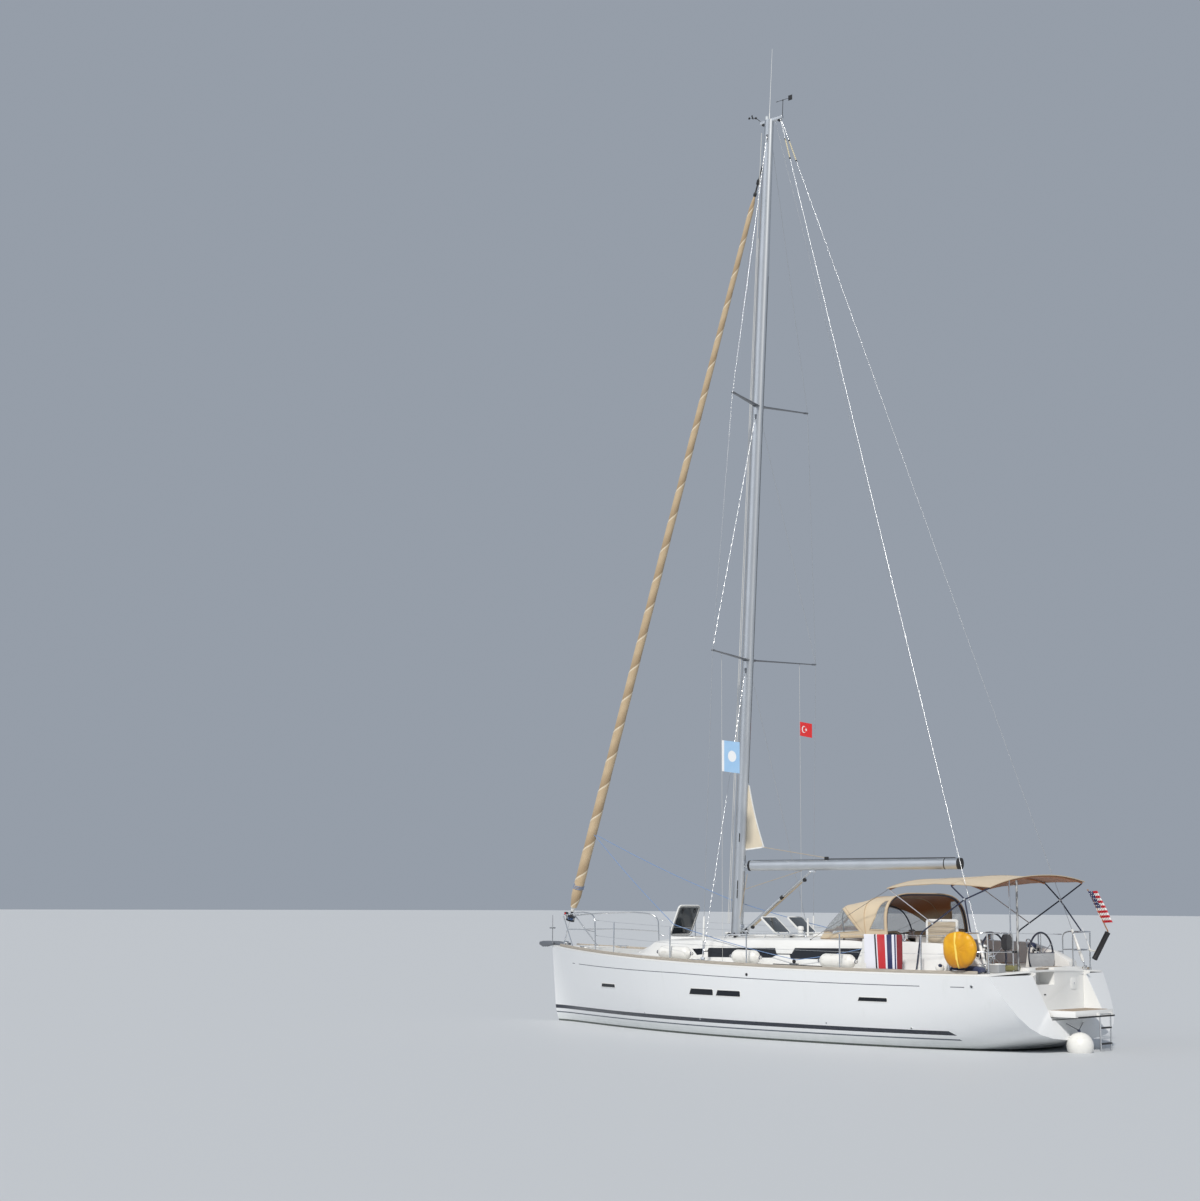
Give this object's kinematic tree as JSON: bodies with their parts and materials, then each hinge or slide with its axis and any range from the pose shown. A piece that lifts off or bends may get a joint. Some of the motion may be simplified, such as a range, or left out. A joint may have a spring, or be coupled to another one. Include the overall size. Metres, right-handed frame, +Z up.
{
  "type": "sailing yacht",
  "caption": "Cruising sailing yacht with furled headsail, boom, canopies, twin wheels, fin keel and rudder, opening hatches and lids, and a folding swim platform with ladder.",
  "frame": {"origin": "on the waterline, on the centreline, halfway along the hull", "axes": "+X towards the bow, +Y to port, +Z up"},
  "size_m": [12.7425, 3.985, 21.1002],
  "materials": {
    "hull_gelcoat": "polished white gelcoat over glass laminate, blue-black boot stripe",
    "deck_gelcoat": "off-white moulded gelcoat with fine non-slip panels",
    "window_glass": "dark tinted acrylic, smooth",
    "toe_rail": "weathered grey-brown teak",
    "stainless": "polished stainless steel",
    "stainless_dull": "dull grey cast metal",
    "antifouling": "matt dark blue bottom paint on iron",
    "rudder_skin": "matt dark blue bottom paint",
    "drive_paint": "satin grey paint",
    "bronze": "bare bronze, slightly dulled",
    "engine_paint": "satin blue-grey engine enamel",
    "joinery": "satin varnished mahogany-coloured veneer",
    "spar_aluminium": "clear anodised, satin",
    "sailcloth": "cream sailcloth with a white leech tape",
    "sail_cover": "sand-coloured acrylic sun strip, wound in a spiral",
    "furler_plastic": "black anodised drum and swivel on a grey foil",
    "rigging_wire": "stranded stainless wire with polished turnbuckles",
    "black_plastic": "black moulded plastic",
    "hatch_acrylic": "dark smoked acrylic in a light alloy frame",
    "teak": "weathered teak slats with dark seams",
    "pedestal_cover": "light grey satin paint",
    "wheel_leather": "dark blue-black stitched leather over a metal rim",
    "canvas": "sand-beige woven acrylic canvas",
    "frame_tube": "dark blue sleeved tube",
    "fender_vinyl": "off-white inflated vinyl",
    "towel_cloth": "striped terry cloth in white, black and red",
    "yellow_vinyl": "yellow coated fabric cover",
    "flag_cloth": "woven bunting"
  },
  "bodies": {
    "yacht": {"hull_shell": "hull_gelcoat", "deck_moulding": "deck_gelcoat", "windows_port": "window_glass", "windows_starboard": "window_glass", "toe_rail_port": "toe_rail", "toe_rail_starboard": "toe_rail", "lifelines_port": "stainless", "lifelines_starboard": "stainless", "pushpit_port": "stainless", "pushpit_starboard": "stainless", "pulpit": "stainless", "bow_roller": "stainless_dull", "keel": "antifouling", "saildrive_leg": "drive_paint", "engine_block": "engine_paint", "cabin_joinery": "joinery", "mast": "spar_aluminium", "genoa_furled": "sail_cover", "forestay": "furler_plastic", "shrouds_port": "rigging_wire", "shrouds_starboard": "rigging_wire", "backstays": "rigging_wire", "cockpit_table": "teak", "pedestal_port": "pedestal_cover", "pedestal_starboard": "pedestal_cover", "bimini_canopy": "canvas", "bimini_frame": "frame_tube", "sprayhood": "canvas", "sprayhood_bow_fore": "frame_tube", "sprayhood_bow_aft": "frame_tube", "fender_1": "fender_vinyl", "fender_2": "fender_vinyl", "fender_3": "fender_vinyl", "ball_fender": "fender_vinyl", "towel": "towel_cloth", "yellow_cover": "yellow_vinyl", "ensign": "flag_cloth", "flag_port": "flag_cloth", "flag_starboard": "flag_cloth"},
    "rudder": {"rudder": "rudder_skin"},
    "wheel_port": {"steering_wheel_port": "wheel_leather"},
    "wheel_starboard": {"steering_wheel_starboard": "wheel_leather"},
    "propeller": {"propeller": "bronze"},
    "boom": {"boom": "spar_aluminium", "vang": "spar_aluminium", "mainsail_clew": "sailcloth"},
    "hatch_fore": {"hatch_fore": "hatch_acrylic"},
    "hatch_port": {"hatch_port": "hatch_acrylic"},
    "hatch_starboard": {"hatch_starboard": "hatch_acrylic"},
    "companionway_hatch": {"companionway_hatch": "deck_gelcoat"},
    "anchor_locker_lid": {"anchor_locker_lid": "deck_gelcoat"},
    "locker_lid_port": {"cockpit_locker_lid_port": "teak"},
    "locker_lid_starboard": {"cockpit_locker_lid_starboard": "teak"},
    "table_leaf_port": {"table_leaf_port": "teak"},
    "table_leaf_starboard": {"table_leaf_starboard": "teak"},
    "swim_platform": {"swim_platform": "deck_gelcoat"},
    "boarding_ladder": {"boarding_ladder": "stainless"},
    "anemometer": {"anemometer": "black_plastic"},
    "wind_vane": {"wind_vane": "black_plastic"}
  },
  "joints": [
    {"name": "rudder_turn", "type": "hinge", "parent": "yacht", "child": "rudder", "pos_m": [-4.93, 0, 0], "axis": [0, 0, 1], "range_deg": [-35, 35]},
    {"name": "wheel_port_turn", "type": "hinge", "parent": "yacht", "child": "wheel_port", "pos_m": [-4.885, 0.75, 1.5], "axis": [1, 0, 0], "range_deg": [-350, 350]},
    {"name": "wheel_starboard_turn", "type": "hinge", "parent": "yacht", "child": "wheel_starboard", "pos_m": [-4.885, -0.75, 1.5], "axis": [1, 0, 0], "range_deg": [-350, 350]},
    {"name": "propeller_spin", "type": "hinge", "parent": "yacht", "child": "propeller", "pos_m": [-2.6, 0, -0.9], "axis": [1, 0, 0], "continuous": true},
    {"name": "boom_swing", "type": "hinge", "parent": "yacht", "child": "boom", "pos_m": [0.93576, 0, 3.055], "axis": [-0.0569, 0, 0.9984], "range_deg": [-65, 65]},
    {"name": "hatch_fore_lift", "type": "hinge", "parent": "yacht", "child": "hatch_fore", "pos_m": [2.5823, 0, 1.72288], "axis": [0, 1, 0], "range_deg": [-66, 24]},
    {"name": "hatch_port_lift", "type": "hinge", "parent": "yacht", "child": "hatch_port", "pos_m": [-0.2173, 0.39, 1.79379], "axis": [0, -1, 0], "range_deg": [-40, 50]},
    {"name": "hatch_starboard_lift", "type": "hinge", "parent": "yacht", "child": "hatch_starboard", "pos_m": [-0.2173, -0.39, 1.79379], "axis": [0, -1, 0], "range_deg": [-40, 50]},
    {"name": "companionway_slide", "type": "slide", "parent": "yacht", "child": "companionway_hatch", "axis": [-1, 0, 0], "range_m": [0, 0.8]},
    {"name": "anchor_locker_lift", "type": "hinge", "parent": "yacht", "child": "anchor_locker_lid", "pos_m": [4.692, 0, 1.49264], "axis": [0, -1, 0], "range_deg": [0, 80]},
    {"name": "locker_port_lift", "type": "hinge", "parent": "yacht", "child": "locker_lid_port", "pos_m": [-4.165, 1.145, 1.3308], "axis": [-1, 0, 0], "range_deg": [-90, 0]},
    {"name": "locker_starboard_lift", "type": "hinge", "parent": "yacht", "child": "locker_lid_starboard", "pos_m": [-4.165, -1.145, 1.3308], "axis": [1, 0, 0], "range_deg": [0, 90]},
    {"name": "table_leaf_port_lift", "type": "hinge", "parent": "yacht", "child": "table_leaf_port", "pos_m": [-3.55, 0.085, 1.5562], "axis": [1, 0, 0], "range_deg": [0, 90]},
    {"name": "table_leaf_starboard_lift", "type": "hinge", "parent": "yacht", "child": "table_leaf_starboard", "pos_m": [-3.55, -0.085, 1.5562], "axis": [-1, 0, 0], "range_deg": [0, 90]},
    {"name": "platform_fold", "type": "hinge", "parent": "yacht", "child": "swim_platform", "pos_m": [-5.752, 0, 0.5564], "axis": [0, 1, 0], "range_deg": [0, 100]},
    {"name": "ladder_fold", "type": "hinge", "parent": "swim_platform", "child": "boarding_ladder", "pos_m": [-6.326, -0.3, 0.604], "axis": [0, -1, 0], "range_deg": [-175, 0]},
    {"name": "anemometer_spin", "type": "hinge", "parent": "yacht", "child": "anemometer", "pos_m": [0.69998, 0, 17.7055], "axis": [0, 0, 1], "continuous": true},
    {"name": "wind_vane_spin", "type": "hinge", "parent": "yacht", "child": "wind_vane", "pos_m": [-0.06002, 0, 17.8706], "axis": [0, 0, 1], "continuous": true}
  ],
  "couplings": [
    {"joint": "wheel_port_turn", "follows": "rudder_turn", "ratio": 10},
    {"joint": "wheel_starboard_turn", "follows": "rudder_turn", "ratio": 10}
  ]
}
